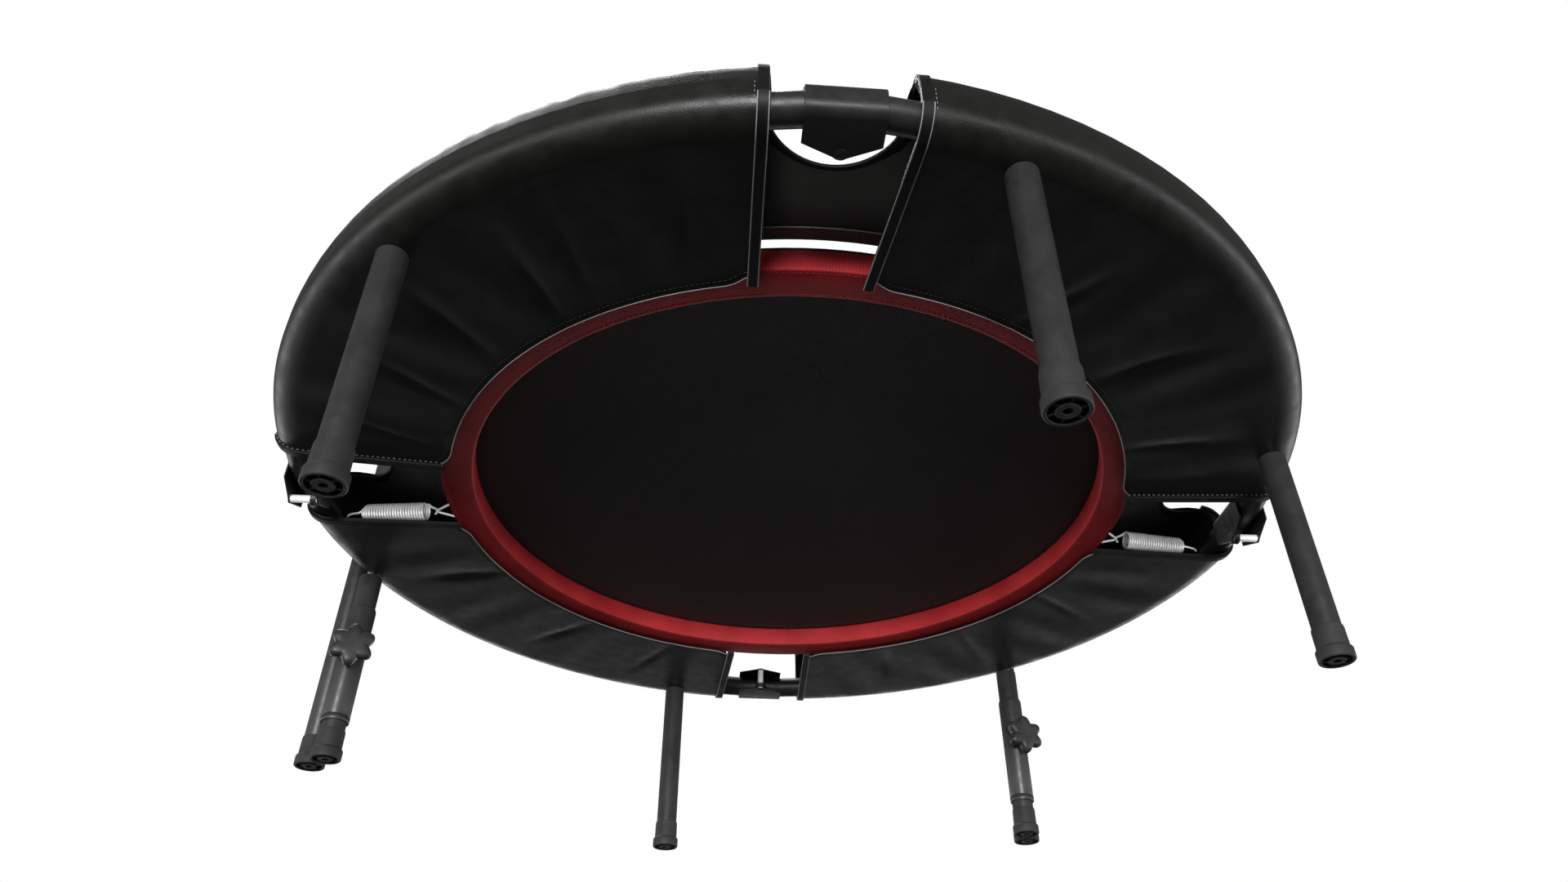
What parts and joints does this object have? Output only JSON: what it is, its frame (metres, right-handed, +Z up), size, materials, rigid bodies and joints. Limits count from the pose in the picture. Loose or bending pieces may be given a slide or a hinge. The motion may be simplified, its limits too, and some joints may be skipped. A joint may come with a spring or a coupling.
{
  "type": "folding mini trampoline",
  "caption": "Folding mini trampoline: round mat on springs inside a hinged tube rim with a padded cover, screw-in legs and a clamped-on U-shaped handlebar",
  "frame": {"origin": "on the floor under the mat's centre", "axes": "+Z up, +X towards the right fold hinge, +Y towards the rear hinge; the handlebar stands over the rear half, turned 14.3 degrees from +Y towards -X"},
  "size_m": [1.0206, 1.0168, 0.8761],
  "materials": {
    "frame_steel": "black powder coat, satin",
    "leg_steel": "black powder coat, satin",
    "handle_steel": "black powder coat, satin",
    "clamp_steel": "black powder coat, satin",
    "zinc_steel": "bright zinc plate",
    "spring_steel": "bright zinc plate",
    "foot_rubber": "moulded, matte",
    "knob_plastic": "moulded, satin",
    "collar_plastic": "moulded, satin",
    "grip_foam": "closed-cell foam, matte",
    "cover_vinyl": "coated fabric, semi-gloss",
    "pad_vinyl": "coated fabric over foam, semi-gloss",
    "mat_fabric": "tight plain weave, matte",
    "border_webbing": "woven webbing, matte"
  },
  "bodies": {
    "rear_half": {"rim_rear_right": "frame_steel", "underside_flap_rear_right": "cover_vinyl", "rim_rear_left": "frame_steel", "underside_flap_rear_left": "cover_vinyl", "spring_right_a": "spring_steel", "hinge_bracket_rear": "frame_steel", "hinge_pin_rear": "zinc_steel", "spring_rear_a": "spring_steel", "spring_rear_b": "spring_steel", "spring_left_b": "spring_steel", "leg_rear_mid": "leg_steel", "foot_rear_mid": "foot_rubber", "leg_socket_rear_mid": "zinc_steel", "leg_rear_left": "leg_steel", "foot_rear_left": "foot_rubber", "leg_socket_rear_left": "zinc_steel", "leg_rear_right": "leg_steel", "foot_rear_right": "foot_rubber", "leg_socket_rear_right": "zinc_steel", "jump_mat_rear": "mat_fabric", "mat_border_rear": "border_webbing", "top_pad_rear": "pad_vinyl", "handle_post_left": "handle_steel", "post_foot_left": "foot_rubber", "post_collar_left": "collar_plastic", "clamp_sleeve_left": "clamp_steel", "handle_post_right": "handle_steel", "post_foot_right": "foot_rubber", "post_collar_right": "collar_plastic", "clamp_sleeve_right": "clamp_steel"},
    "front_half": {"rim_front_left": "frame_steel", "underside_flap_front_left": "cover_vinyl", "rim_front_right": "frame_steel", "underside_flap_front_right": "cover_vinyl", "hinge_bracket_right": "frame_steel", "hinge_pin_right": "zinc_steel", "spring_right_b": "spring_steel", "hinge_bracket_left": "frame_steel", "hinge_pin_left": "zinc_steel", "spring_left_a": "spring_steel", "hinge_bracket_front": "frame_steel", "hinge_pin_front": "zinc_steel", "spring_front_a": "spring_steel", "spring_front_b": "spring_steel", "leg_front_left": "leg_steel", "foot_front_left": "foot_rubber", "leg_socket_front_left": "zinc_steel", "leg_front_mid": "leg_steel", "foot_front_mid": "foot_rubber", "leg_socket_front_mid": "zinc_steel", "leg_front_right": "leg_steel", "foot_front_right": "foot_rubber", "leg_socket_front_right": "zinc_steel", "jump_mat_front": "mat_fabric", "mat_border_front": "border_webbing", "top_pad_front": "pad_vinyl"},
    "knob_left": {"clamp_knob_left": "knob_plastic"},
    "knob_right": {"clamp_knob_right": "knob_plastic"},
    "handlebar": {"handle_bar": "handle_steel", "handle_grip": "grip_foam"}
  },
  "joints": [
    {"name": "half_fold", "type": "hinge", "parent": "front_half", "child": "rear_half", "pos_m": [0, 0, 0.2078], "axis": [-1, 0, 0], "range_deg": [0, 110]},
    {"name": "handle_height", "type": "slide", "parent": "rear_half", "child": "handlebar", "axis": [0, 0, 1], "range_m": [0, 0.2]},
    {"name": "knob_left_turn", "type": "hinge", "parent": "rear_half", "child": "knob_left", "pos_m": [-0.46777, 0.17489, 0.118], "axis": [0.247, -0.969, 0], "continuous": true},
    {"name": "knob_right_turn", "type": "hinge", "parent": "rear_half", "child": "knob_right", "pos_m": [0.32698, 0.37747, 0.118], "axis": [0.247, -0.969, 0], "continuous": true}
  ]
}
